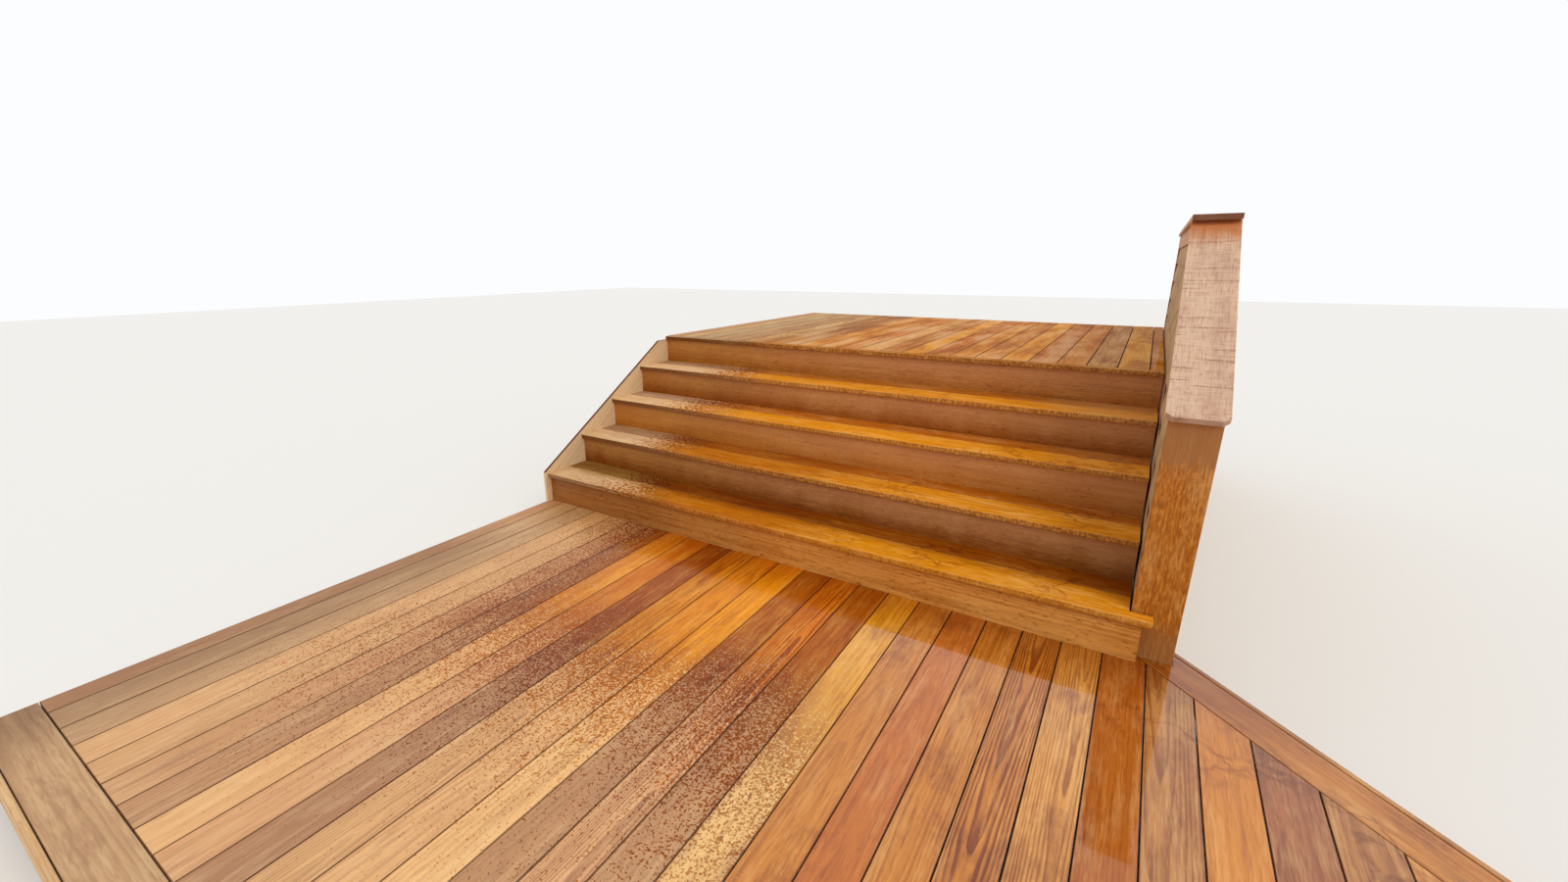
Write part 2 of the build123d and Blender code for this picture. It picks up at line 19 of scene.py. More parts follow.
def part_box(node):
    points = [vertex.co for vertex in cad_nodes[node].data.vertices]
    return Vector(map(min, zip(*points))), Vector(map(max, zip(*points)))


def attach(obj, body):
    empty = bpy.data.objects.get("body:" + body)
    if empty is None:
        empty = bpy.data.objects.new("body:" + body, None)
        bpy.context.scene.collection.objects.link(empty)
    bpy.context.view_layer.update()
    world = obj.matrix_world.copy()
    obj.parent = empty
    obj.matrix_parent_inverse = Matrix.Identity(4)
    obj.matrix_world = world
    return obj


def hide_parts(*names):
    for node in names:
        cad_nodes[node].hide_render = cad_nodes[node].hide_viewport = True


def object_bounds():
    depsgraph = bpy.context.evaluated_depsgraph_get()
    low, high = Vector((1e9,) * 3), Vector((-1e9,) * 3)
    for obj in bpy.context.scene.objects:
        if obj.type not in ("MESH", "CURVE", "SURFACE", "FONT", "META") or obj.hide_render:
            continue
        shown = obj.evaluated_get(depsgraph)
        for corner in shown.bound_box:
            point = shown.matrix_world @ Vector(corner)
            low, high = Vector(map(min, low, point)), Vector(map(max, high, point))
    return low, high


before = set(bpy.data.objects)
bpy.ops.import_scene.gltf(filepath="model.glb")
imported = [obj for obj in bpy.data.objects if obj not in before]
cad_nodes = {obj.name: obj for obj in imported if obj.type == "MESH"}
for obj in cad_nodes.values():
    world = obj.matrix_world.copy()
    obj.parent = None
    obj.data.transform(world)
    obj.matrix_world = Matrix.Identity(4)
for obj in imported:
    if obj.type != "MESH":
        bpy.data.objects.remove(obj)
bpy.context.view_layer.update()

print("CAD nodes:", len(cad_nodes))

# %% [markdown]
# ## The camera
# The photograph was taken with a very wide lens from about 1.5 m above the low deck. A camera can
# be placed by eye or fitted to points of known size. This one was fitted to the nosings, the
# risers and the joints between the deck boards, so its numbers are a place in metres, three
# angles and a focal length.

# %% Camera at the photograph's angle
camera_place = Vector((0.718, -3.143, 1.708))
camera_turn = 32.517
camera_pitch = 16.810
camera_roll = 0.351
lens_mm = 14.362
sensor_mm = 36
lens_shift = (0.0245, 0.0057)

camera = bpy.data.objects.new("camera", bpy.data.cameras.new("camera"))
camera.data.lens = lens_mm
camera.data.sensor_width = sensor_mm
camera.data.shift_x, camera.data.shift_y = lens_shift
camera.data.clip_end = 200
camera.matrix_world = (
    Matrix.Translation(camera_place)
    @ Matrix.Rotation(math.radians(camera_turn), 4, "Z")
    @ Matrix.Rotation(math.radians(90 - camera_pitch), 4, "X")
    @ Matrix.Rotation(math.radians(-camera_roll), 4, "Z")
)
bpy.context.scene.collection.objects.link(camera)
bpy.context.scene.camera = camera
print("camera looks along", (camera.matrix_world.to_3x3() @ Vector((0, 0, -1))).to_tuple(3))

# %% [markdown]
# ## Writing materials as expressions
# A finish is a graph of nodes. Drawn by hand it soon becomes a web, and as Python it can read like
# a formula. A Value wraps one output socket, so that `1 - mask * 0.3` adds its own Math nodes.
# Colours and vectors go through Mix and Vector Math nodes, because a Math node would turn a colour
# grey.


# %% A value that is a socket
class Value:
    """One output socket of a graph. Arithmetic on it adds Math nodes."""

    def __init__(self, graph, socket):
        self.graph = graph
        self.socket = socket

    def math(self, operation, *others, clamp=False):
        settings = {"operation": operation, "use_clamp": clamp}
        return self.graph.node("Math", settings, dict(enumerate((self, *others))))

    def __add__(self, other):
        return self.math("ADD", other)

    def __mul__(self, other):
        return self.math("MULTIPLY", other)

    def __sub__(self, other):
        return self.math("SUBTRACT", other)

    def __rsub__(self, other):
        return self.graph.node("Math", {"operation": "SUBTRACT"}, {0: other, 1: self})

    def __truediv__(self, other):
        return self.math("DIVIDE", other)

    def __pow__(self, other):
        return self.math("POWER", other)

    __radd__ = __add__
    __rmul__ = __mul__

    def clamped(self):
        """Nothing below 0 or above 1."""
        return self.math("ADD", 0.0, clamp=True)

    def between(self, low, high):
        """0 at low and 1 at high, with a smooth turn between them."""
        settings = {"interpolation_type": "SMOOTHSTEP"}
        return self.graph.node("MapRange", settings, {0: self, 1: low, 2: high, 3: 0.0, 4: 1.0})

    def other(self, name):
        """Another output of the same node."""
        return Value(self.graph, self.socket.node.outputs[name])


# %% [markdown]
# ## One method for every node
# Blender makes a node in three moves: add it, set its options, fill or link its sockets. Each kind
# of node could have a function of its own, but one method that takes all three is shorter, and the
# sky can use it as well as the boards.


# %% A graph that makes nodes
class Graph:
    """The nodes of a material or of the sky."""

    def __init__(self, owner):
        owner.use_nodes = True
        self.tree = owner.node_tree
        self.tree.nodes.clear()

    def node(self, kind, settings=None, sockets=None, output=0):
        """Adds a node: its settings first, then the values or links of its sockets."""
        made = self.tree.nodes.new("ShaderNode" + kind)
        for name, value in (settings or {}).items():
            setattr(made, name, value)
        for name, value in (sockets or {}).items():
            if isinstance(value, Value):
                self.tree.links.new(value.socket, made.inputs[name])
            else:
                made.inputs[name].default_value = value
        return Value(self, made.outputs[output]) if made.outputs else None


# %% A finish: one material
class Finish(Graph):
    """A material under construction."""

    def __init__(self, name):
        self.material = bpy.data.materials.new(name)
        super().__init__(self.material)

    @cached_property
    def place(self):
        """Where a point is on the stairs, in metres."""
        return self.node("TexCoord", output="Object")

    @cached_property
    def xyz(self):
        """The same place as three values."""
        return self.split(self.place)

    def split(self, vector):
        x = self.node("SeparateXYZ", {}, {0: vector})
        return x, x.other("Y"), x.other("Z")

    def attribute(self, name, output):
        """What the mesh says about a point, such as its grain coordinate or its tone."""
        return self.node("Attribute", {"attribute_name": name}, output=output)

    def mix(self, first, second, factor, blend="MIX"):
        """Colour between first and second."""
        settings = {"data_type": "RGBA", "blend_type": blend}
        sockets = {0: factor, 6: self.colour(first), 7: self.colour(second)}
        return self.node("Mix", settings, sockets, output=2)

    def colour(self, value):
        return value if isinstance(value, Value) else (*value[:3], 1)

    def tint(self, colour, tone, factor=1.0):
        """Colour multiplied by a tone, as far as factor says."""
        return self.mix(colour, tone, factor, "MULTIPLY")

    def stretched(self, place, times):
        """A place multiplied along each axis. Large numbers make a pattern fine."""
        return self.node("VectorMath", {"operation": "MULTIPLY"}, {0: place, 1: times})

    def noise(self, place, scale, detail=2.0, roughness=0.5):
        """Noise around 0, from about -0.5 to 0.5. scale is one number, or one for each axis."""
        if isinstance(scale, tuple):
            place = self.stretched(place, scale)
            scale = 1.0
        sockets = {"Vector": place, "Scale": scale, "Detail": detail, "Roughness": roughness}
        return self.node("TexNoise", {}, sockets) - 0.5

    def bump(self, height, distance, strength, over=None):
        """The normals of a relief, alone or over the normals of another one."""
        sockets = {"Height": height, "Distance": distance, "Strength": strength}
        if over:
            sockets["Normal"] = over
        return self.node("Bump", {}, sockets)

    def surface(self, **sockets):
        """Joins a Principled shader to the output and returns the material."""
        names = {name.replace("_", " "): value for name, value in sockets.items()}
        self.node("OutputMaterial", {}, {"Surface": self.node("BsdfPrincipled", {}, names)})
        print(f"finish {self.material.name}: {len(self.tree.nodes)} nodes")
        return self.material


# %% [markdown]
# ## Tones of the boards
# Deck boards of tropical hardwood are sold unsorted, so straw, gold, rust and umber lie side by
# side. A ramp of random tones could give that mixture. Here a given palette does, because a
# viewer knows this deck by its dark and pale boards: the low deck's boards pick from the palette
# one by one, in the order seen from left to right, and the other pieces pick with a seeded random
# choice. Each tone is written in hex digits and turned into Blender's linear light.


# %% Palette
def linear(code):
    """A colour written as six hex digits, in linear light."""
    parts = [int(code[i:i + 2], 16) / 255 for i in (0, 2, 4)]
    return tuple(c / 12.92 if c <= 0.04045 else ((c + 0.055) / 1.055) ** 2.4 for c in parts)


mixed_by_eye = {
    "cream": "efcd94", "straw": "e6a01c", "honey": "df921a", "gold": "d58518",
    "amber": "cc7516", "orange": "b86610", "tan": "ca7f2a", "rose": "c06d26",
    "rust": "aa5d18", "umber": "984b14", "mauve": "a26238", "stone": "b67b42",
    "wheat": "d9b06a", "flame": "f09b12", "bronze": "c46e0c", "toffee": "d49446",
    "chestnut": "c2823c", "russet": "b56a16", "pine": "cfa06a", "shell": "ffc890",
}
tones = {name: linear(code) for name, code in mixed_by_eye.items()}
print("tones on the palette:", len(tones))

# %% The low deck's boards from left to right
low_deck_order = [
    "rose", "stone", "stone", "tan", "tan", "orange", "rust", "gold", "amber", "umber", "gold",
    "gold", "honey", "rust", "amber", "rust", "straw", "tan", "rose", "tan", "tan", "toffee",
    "rust", "stone", "tan", "mauve", "stone", "toffee", "rose", "rust", "straw", "amber", "rose",
]
strong_figure = {6: 0.4, 10: 0.5, 14: 0.9, 19: 0.45, 20: 1.2, 21: 0.7, 23: 0.6, 26: 0.45}
print("low deck boards:", len(low_deck_order), "with bold rings:", len(strong_figure))

# %% [markdown]
# ## Eased edges
# A CAD solid has knife-sharp edges, and a planer eases those of a real board by about 2 mm, where
# each one catches a thin line of light. A shader can fake that line, but only close up. Here each
# node's mesh is copied, its flat triangles are merged, and its sharp edges are bevelled, so the
# rounding is real from every side.

# %% A clean mesh with eased edges
weld_distance = 1e-5
flat_angle = math.radians(1)
sharp_angle = math.radians(40)
print("edges sharper than", round(math.degrees(sharp_angle)), "degrees are eased")


def clean_mesh(node):
    """A copy of a CAD node's mesh with its flat triangles merged."""
    mesh = bmesh.new()
    mesh.from_mesh(cad_nodes[node].data)
    bmesh.ops.remove_doubles(mesh, verts=mesh.verts, dist=weld_distance)
    bmesh.ops.dissolve_limit(mesh, angle_limit=flat_angle, verts=mesh.verts, edges=mesh.edges)
    return mesh


def ease_edges(mesh, ease):
    """Rounds the sharp edges of every board and returns the narrow new faces."""
    edges = [e for e in mesh.edges if len(e.link_faces) == 2 and e.calc_face_angle() > sharp_angle]
    eased = bmesh.ops.bevel(
        mesh, geom=edges, offset=ease, offset_type="OFFSET", segments=2, profile=0.5,
        affect="EDGES", clamp_overlap=True,
    )
    return set(eased["faces"])


# %% [markdown]
# ## Boards and their directions
# A node such as the deck holds many boards, and each came from another plank. Blender can split
# them into objects, but one object for a node is easier to hand on. So the boards are found by
# walking along their edges, and each gets three directions: along the plank, across it and
# through it. Two faces of a plank are equally broad, so a rule picks the same one each time.


# %% Finding the boards of a node
def middle_of(board):
    return sum((v.co for v in board), Vector()) / len(board)


def boards_of(mesh):
    """The vertices of each separate board, ordered along X, then Y, then Z."""
    left = set(mesh.verts)
    boards = []
    while left:
        front = [left.pop()]
        board = set(front)
        while front:
            for edge in front.pop().link_edges:
                for vert in edge.verts:
                    if vert in left:
                        left.discard(vert)
                        board.add(vert)
                        front.append(vert)
        boards.append(sorted(board, key=lambda v: v.index))
    return sorted(boards, key=lambda b: (*(round(c, 3) for c in middle_of(b)), b[0].index))


# %% Directions of a plank
nearly_largest = 0.98
nearly_longest = 0.999
toward_light = Vector((0.2, 0.3, 1.0))
print("of two equal faces, the one that looks more along", toward_light.to_tuple(1), "counts")


def longest_way(board):
    """The direction of a board's longest edges."""
    lengths = {edge: edge.calc_length() for vert in board for edge in vert.link_edges}
    limit = nearly_longest * max(lengths.values())
    longest = [edge for edge, length in lengths.items() if length > limit]
    ways = [edge.verts[1].co - edge.verts[0].co for edge in longest]
    return max(ways + [-way for way in ways], key=toward_light.dot)


def plank_axes(board, along):
    """Directions along, across and through a plank."""
    areas = {face: face.calc_area() for vert in board for face in vert.link_faces}
    limit = nearly_largest * max(areas.values())
    broad = max((f.normal for f, area in areas.items() if area > limit), key=toward_light.dot)
    along = Vector(along or longest_way(board)).normalized()
    through = (broad - along * broad.dot(along)).normalized()
    return along, through.cross(along), through


# %% [markdown]
# ## A grain coordinate for each board
# The grain must run along every plank, whichever way the plank lies, and no two planks may show
# the same pattern. An unwrapped map would do, board by board. Here every vertex gets metres along,
# across and through its plank instead, moved by a random amount as if the plank were cut from
# another place of the tree. That is kept as a mesh attribute, so one material serves all boards.
# Real boards also sit a hair high or low, which breaks up the reflections of a wet deck.

# %% Grain and settling
seed = 11
dice = random.Random(seed)
print("every run draws the same numbers, from seed", seed)


def settle(board, axes, lift, tilt):
    """Moves a board up or down by up to lift, and leans it across by up to tilt."""
    along, across, through = axes
    middle = middle_of(board)
    rise = dice.uniform(-lift, lift)
    lean = dice.uniform(-tilt, tilt)
    for vert in board:
        offset = (vert.co - middle).dot(across)
        vert.co.z += rise + offset * lean


def grain_coordinates(board, axes):
    """Metres along, across and through the plank, as cut from a random place of a tree."""
    middle = middle_of(board)
    start = dice.uniform(0, 60)
    heart = dice.uniform(-0.05, 0.05)
    depth = dice.uniform(0.03, 0.16)
    slant = dice.uniform(-0.02, 0.02)
    for vert in board:
        along, across, through = ((vert.co - middle).dot(axis) for axis in axes)
        yield (start + along, across + heart, through + depth + slant * along)


# %% [markdown]
# ## From a mesh to a dressed piece
# The planed faces of a board are flat and its eased edges are round. With smooth shading alone the
# flat faces would look puffed up, so a Weighted Normal modifier lets the broad faces rule. The
# dressed piece then takes the place of its CAD node in the frame.

# %% Making the object
smooth_angle = math.radians(50)
print("edges under", round(math.degrees(smooth_angle)), "degrees are shaded smooth")


def finish_object(name, mesh, grain, tone, eased=()):
    """Turns a bmesh and its attributes into an object with flat faces and round edges."""
    rim = np.array([face in eased for face in mesh.faces], np.float32)
    data = bpy.data.meshes.new(name)
    mesh.to_mesh(data)
    mesh.free()
    data.attributes.new("grain", "FLOAT_VECTOR", "POINT").data.foreach_set("vector", grain.ravel())
    data.attributes.new("tone", "FLOAT_COLOR", "POINT").data.foreach_set("color", tone.ravel())
    data.attributes.new("rim", "FLOAT", "FACE").data.foreach_set("value", rim)
    data.shade_smooth()
    data.set_sharp_from_angle(angle=smooth_angle)
    made = bpy.data.objects.new(name, data)
    bpy.context.scene.collection.objects.link(made)
    flat = made.modifiers.new("flat_faces", "WEIGHTED_NORMAL")
    flat.keep_sharp = True
    flat.weight = 100
    return made


def take_place(made, node, material):
    """Puts a finished object in the place of a CAD node."""
    made.data.materials.append(material)
    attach(made, "root")
    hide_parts(node)


# %% Dressing one node
shade_range = (0.95, 1.09)
figure_range = (0.1, 0.4)
print("a board's shade varies from", shade_range[0], "to", shade_range[1])


def dress(
    node, material, palette, ease=0.002, along=None, lift=0.0, tilt=0.0, figures=None,
    brightness=1.0,
):
    """A dressed piece that stands for a CAD node. palette holds the tones its boards take."""
    mesh = clean_mesh(node)
    eased = ease_edges(mesh, ease)
    mesh.verts.index_update()
    boards = boards_of(mesh)
    grain = np.zeros((len(mesh.verts), 3), np.float32)
    tone = np.zeros((len(mesh.verts), 4), np.float32)
    in_order = len(palette) == len(boards)
    for number, board in enumerate(boards):
        axes = plank_axes(board, along)
        picked = tones[palette[number] if in_order else dice.choice(palette)]
        shade = dice.uniform(*shade_range) * brightness
        figure = (figures or {}).get(number, dice.uniform(*figure_range))
        for vert, coordinate in zip(board, grain_coordinates(board, axes)):
            grain[vert.index] = coordinate
            tone[vert.index] = (*(c * shade for c in picked), figure)
        if lift:
            settle(board, axes, lift, tilt)
    made = finish_object("dressed_" + node, mesh, grain, tone, eased)
    take_place(made, node, material)
    print(f"dressed {node}: {len(boards)} boards, {len(made.data.polygons)} faces")


# %% [markdown]
# ## Rings and knots
# A plank is cut through the rings of a tree. The rings are cylinders round the heart, so their
# pattern on the plank comes from one formula: the distance from the heart, divided by the width of
# a ring. Because each board leans a little against the tree, the rings run out in long arches. A
# knot is the foot of a branch, and the rings swerve round it. A picture of wood would show all
# this too, but a formula stays sharp at any distance and never repeats.


# %% Knots and late wood
def knot_mask(finish, grain, share):
    """1 in the heart of a knot. share says how many of the cells along a plank hold one."""
    cells = finish.stretched(grain, (1.3, 6.0, 0.4))
    spot = finish.node("TexVoronoi", {}, {"Vector": cells, "Scale": 1.0, "Randomness": 1.0})
    pick = finish.node("SeparateColor", {}, {0: spot.other("Color")})
    return (1 - spot.between(0.02, 0.22)) * pick.between(1 - share, 1 - share + 0.02)


def late_wood(finish, grain, ring_width, knot):
    """1 on the dark late wood of each ring, 0 on the pale wood between."""
    x, y, z = finish.split(grain)
    sway = finish.noise(grain, (0.9, 7.0, 7.0), 3.0)
    across = y + sway * 0.035
    through = z + sway * 0.02
    if knot:
        across = across + knot * 0.03
    radius = (across * across + through * through) ** 0.5
    turns = radius / ring_width + finish.noise(grain, (2.7, 21.0, 21.0)) * 0.9
    ring = turns.math("FRACT")
    return ring.between(0.25, 0.92) * (1 - ring.between(0.93, 1.0))


# %% [markdown]
# ## Colour and relief of wood
# Over the rings lie streaks, fine fibres, pores that show as flecks, and a broad unevenness like
# clouds, all stretched along the plank. Each one is noise with its own stretch. They darken or
# pale the board's tone, and the finest of them also give a relief of tenths of a millimetre.


# %% Grain as a formula
def wood_grain(finish, ring_width=0.007, knots=0.0, fineness=1.0, stain=0.3, contrast=1.0):
    """Colour of wood and the height of its grain, from the grain and tone attributes."""
    grain = finish.attribute("grain", "Vector")
    tone = finish.attribute("tone", "Color")
    figure = tone.other("Alpha")
    knot = knot_mask(finish, grain, knots) if knots else None
    ringed = late_wood(finish, grain, ring_width, knot) * figure
    lines = 55.0 * fineness
    streak = finish.noise(grain, (1.6, lines, lines), 4.0, 0.6)
    fibre = finish.noise(grain, (9.0, 420.0, 420.0), 3.0, 0.65)
    cloud = finish.noise(grain, (3.2, 11.0, 11.0), 3.0, 0.6)
    fleck = finish.noise(grain, (16.0, 170.0, 170.0), 2.0, 0.6)
    blot = finish.noise(grain, (2.89, 13.6, 13.6), 5.0, 0.65).between(0.03, 0.26)

    deep = finish.tint(tone, (0.40, 0.24, 0.16))
    light = finish.mix(tone, (1.0, 0.74, 0.34), 0.38)
    dark = (ringed + (streak * 1.7 + 0.08) * (0.40 + figure * 0.6)).clamped()
    pale = (cloud * 2.4 - streak * 1.6 - fleck * 1.5 + 0.05).clamped()
    pores = (fibre + fleck * 2.4 - cloud * 0.6 - 0.05).clamped()
    colour = finish.mix(tone, deep, dark)
    colour = finish.mix(colour, light, pale * (0.7 * contrast))
    colour = finish.mix(colour, deep, pores * (0.75 * contrast))
    colour = finish.tint(colour, (0.62, 0.46, 0.48), blot * stain)
    if knot:
        colour = finish.mix(colour, finish.mix(tone, (0.10, 0.05, 0.03), 0.85), knot ** 1.5)
    relief = fibre * 0.5 + streak * 0.5 - ringed * 0.4 - fleck * 0.4
    return colour, relief


# %% [markdown]
# ## Where rain fell
# Water changes wood in three ways. A closed film makes it darker and richer and lays a mirror over
# it. Separate drops leave dark specks, less than 1 cm wide. Where little rain falls, the boards
# stay dry, pale and dull: here along the left side and, on the low deck, at some 2 m from the
# flight. All three come from one number that grows from the dry side to the wet side: fine noise
# is added to it, and wherever the sum passes a threshold the wood is wet. So the specks begin
# apart, crowd together and close up, as on a real deck. Drops painted one by one would need all
# those steps.

# %% The amount of rain
left_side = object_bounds()[0][0]
flight_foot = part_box("riser_1")[0].y
dry_past = 2.15
far_width = 1.3
standing_past = 2.254
print(f"low deck: dry {dry_past} m off the flight, standing water {standing_past} m off the left")


def from_corner(finish):
    """Metres right of the left side, and metres in front of the flight's foot."""
    x, y, z = finish.xyz
    return x - left_side, flight_foot - y


def rain_amount(finish, wander, border, width, low_deck):
    """Dry wood below 0 and a closed film above 1. wander bends the border between them."""
    from_left, from_foot = from_corner(finish)
    amount = (from_left + wander * 0.7 - border) / width
    if low_deck:
        amount = amount.math("MINIMUM", (dry_past - from_foot + wander * 0.9) / far_width)
        amount = amount + from_left.between(standing_past + 0.13, standing_past + 0.15) * 0.55
        amount = amount + from_left.between(standing_past + 0.15, standing_past + 0.90) * 1.5
    return amount


# %% Dry wood and wet wood
def dry_wood(finish, colour, bleach):
    """Wood without its film is paler and duller. bleach pales it further."""
    faded = {"Hue": 0.513, "Saturation": 0.70 + bleach * 0.3, "Value": 0.88 + bleach * 0.8}
    grey = finish.node("HueSaturation", {}, {"Color": colour, **faded})
    return finish.mix(grey, (0.75, 0.46, 0.26), bleach)


def wet_wood(finish, colour, amount, low_deck):
    """Wood is darkest under drops that stand apart and along the tide lines of pools."""
    drenched = finish.tint(colour, (0.54, 0.39, 0.24))
    apart = amount.between(-0.2, 0.2) * (1 - amount.between(0.8, 1.2))
    pool = finish.noise(finish.place, 6.5, 3.0, 0.6)
    tide = (1 - pool.math("ABSOLUTE") * 22.0).clamped() * amount.between(2.0, 3.2)
    if low_deck:
        from_left, from_foot = from_corner(finish)
        tide = tide * from_left.between(standing_past + 0.6, standing_past + 1.2)
    broken = finish.noise(finish.place, 3.1, 1.0).between(0.0, 0.12)
    colour = finish.mix(colour, drenched, apart * 0.9)
    return finish.mix(colour, drenched, tide * broken * 0.8)


# %% [markdown]
# ## Water that stays, and painted shade
# Broad masks add what the drops can't. Water that drips from the flight soaks the boards at its
# foot, and that darkening is also painted shade at the foot of the flight. Along the left edge
# the dry boards get painted shade. Standing water with fine silt in it covers the low deck at the
# right, and puddles lie along the boards of the high deck. Real water could be modelled as a thin
# sheet, but it is less than a millimetre deep here, so tone and gloss say enough.


# %% Low deck and high deck
def low_deck_wet_and_shade(finish, dry, wet, wander):
    """Painted shade on the left edge, a foot both wet and in painted shade, and silt. Also returns
    the mask of standing water.
    """
    from_left, from_foot = from_corner(finish)
    # painted shade: dry boards near the left edge, away from the flight's foot, are darkened
    left_edge_shade = (1 - from_left.between(0.05, 0.50)) * from_foot.between(0.1, 0.9)
    dry = finish.tint(dry, (0.62, 0.60, 0.62), left_edge_shade)
    # wetness and painted shade: the boards at the flight's foot are darkened, the dry ones less
    foot = (1 - (from_foot + wander * 0.25).between(0.05, 0.42)) * 0.85
    wet_and_shade = (0.56, 0.38, 0.06)
    dry = finish.tint(dry, wet_and_shade, foot * 0.6)
    wet = finish.tint(wet, wet_and_shade, foot)
    standing = from_left.between(standing_past - 0.01, standing_past + 0.01)
    silt = finish.noise(finish.place, (5.5, 3.5, 1.0), 5.0, 0.68).between(0.02, 0.20)
    wet = finish.tint(wet, (0.56, 0.42, 0.46), silt * standing * 0.65)
    wet = finish.tint(wet, (1.06, 1.0, 0.50), 1 - standing)
    return dry, wet, standing


def puddle_tones(finish, wet):
    """Dark where a puddle lies along the boards, pale and faded beside it."""
    lying = finish.noise(finish.place, (5.0, 1.3, 1.0), 3.0, 0.6)
    wet = finish.tint(wet, (0.56, 0.38, 0.14), lying.between(0.0, 0.14) * 0.6)
    return finish.mix(wet, (0.76, 0.48, 0.24), (1 - lying.between(-0.16, 0.04)) * 0.5)


# %% Rain put together
def rained_on(
    finish, colour, relief, border, width, gloss, bleach=0.0, speck_scale=150.0, low_deck=False,
    puddles=False,
):
    """Sockets of wood that turns wet over a width in metres, from a border off the left side."""
    wander = finish.noise(finish.place, (1.6, 1.1, 1.6), 3.0)
    amount = rain_amount(finish, wander, border, width, low_deck)
    speck = finish.noise(finish.place, speck_scale, 2.5, 0.55)
    covered = (amount - 0.70 + speck * 3.0).between(-0.06, 0.06)
    film = covered * gloss
    dry = dry_wood(finish, colour, bleach)
    wet = wet_wood(finish, colour, amount, low_deck)
    if low_deck:
        dry, wet, standing = low_deck_wet_and_shade(finish, dry, wet, wander)
        film = film * (0.10 + standing * 0.90)
    if puddles:
        wet = puddle_tones(finish, wet)
    ripple = finish.noise(finish.place, 11.0)
    return {
        "Base_Color": finish.mix(dry, wet, covered),
        "Roughness": 0.60 - covered * 0.40 + ripple * 0.10,
        "Coat_Weight": film,
        "Normal": finish.bump(covered, 0.0012, 0.5, over=finish.bump(relief, 0.0012, 0.30)),
    }


# %% [markdown]
# ## Treads
# A tread is darkest at its back, where water stays against the riser and painted shade is added
# under the next riser, and under its nose, where drops hang; towards the left, where no drops hang,
# the nose gets painted shade. Rain dripped on the left part of the two lowest ones, and the right
# end of the upper ones gets painted light beside the cheek wall. Each tread could have a material
# of its own. One formula does for all, because the height of a point tells which tread it is on.
# The joints of a deck collect dirt and water too, and their dark lines also stand for painted
# shade in the gaps, so the eased edges of boards are darkened through the attribute that marks
# them.

# %% Edges, and faces that look one way
warm_sheen = (1.0, 0.72, 0.45, 1)
print("mirrored light is tinted", warm_sheen[:3])


def joint_grime_and_shade(finish, colour, strength):
    """Darkens the eased edges of boards, as dirt in the joints and as painted shade in the gaps."""
    rim = finish.attribute("rim", "Fac")
    # dirt and painted shade: the eased edges are darkened nearly to black
    return finish.mix(colour, (0.050, 0.017, 0.009), rim * strength)


def facing(finish, direction):
    """1 on faces that look along a direction, 0 on the others."""
    sockets = {0: finish.node("NewGeometry", output="Normal"), 1: direction}
    dot = finish.node("VectorMath", {"operation": "DOT_PRODUCT"}, sockets, output="Value")
    return dot.between(0.35, 0.6)


# %% Backs, drips and noses of treads
step_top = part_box("tread_1")[1].z
step_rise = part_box("tread_2")[1].z - step_top
step_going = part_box("riser_2")[0].y - flight_foot
print(f"steps rise {step_rise:.3f} m and go {step_going:.3f} m")


def drops_and_shade_on_nose(finish, colour, first):
    """Drops that hang on the front of a tread's nose, with dark wood between them, and painted
    shade on its left part.
    """
    x, y, z = finish.xyz
    bead = finish.noise(finish.place, (140.0, 140.0, 56.0), 1.5)
    # painted shade: towards the left the nose is darkened nearly to black
    left_nose_shade = 1 - (x - left_side).between(0.2, 1.3)
    hanging = finish.mix((0.14, 0.040, 0.009), (0.50, 0.24, 0.06), (bead * 3.5 + 0.42).clamped())
    hanging = finish.mix(hanging, (0.13, 0.034, 0.004), left_nose_shade * 0.9)
    front = facing(finish, (0, -1, 0)) * (0.75 - first * 0.25 + left_nose_shade * 0.2)
    return finish.mix(colour, hanging, front)


def tread_tones(finish, colour):
    """Backs wet and in painted shade, a steeped left part of the lowest treads, painted light at
    the right end, drops.
    """
    x, y, z = finish.xyz
    step = ((z - step_top) / step_rise).math("ROUND")
    first = 1 - step.clamped()
    third = step.between(1.4, 1.6) * (1 - step.between(2.4, 2.6))
    ragged = finish.noise(finish.place, (4.0, 9.0, 1.0), 4.0, 0.6)
    share = (y - flight_foot) / step_going - step + ragged * 0.5
    # painted shade with wetness: the back of each tread, under the next riser, is darkened
    back = (share + first * 0.22 - 0.16).between(0.30, 0.66)
    back = back * (first * 0.62 + 0.38 - third * 0.26)
    colour = finish.tint(colour, (0.53, 0.42, 0.14), back)
    from_left = x - left_side + ragged * 0.6
    drip = from_left.between(0.5, 0.9) * (1 - from_left.between(1.5, 2.1))
    colour = finish.tint(colour, (0.70, 0.55, 0.22), drip * (1 - step.between(0.9, 1.6)))
    # painted light: the right end of the upper treads is lightened beside the cheek wall
    wall_side_light = from_left.between(2.55, 3.0) * step.between(1.4, 3.0) * 0.30
    colour = finish.mix(colour, (1.0, 0.55, 0.20), wall_side_light)
    return drops_and_shade_on_nose(finish, colour, first)


# %% [markdown]
# ## Finishes of the walking surfaces
# All boards that are walked on get the same formula with other numbers: where the rain begins,
# how glossy its film is, how fine its specks are, and how dark the joints look. Five hand-made
# materials would drift apart, and with one function they stay of one family. The index of
# refraction is low because the photograph's boards mirror less than fresh varnish.


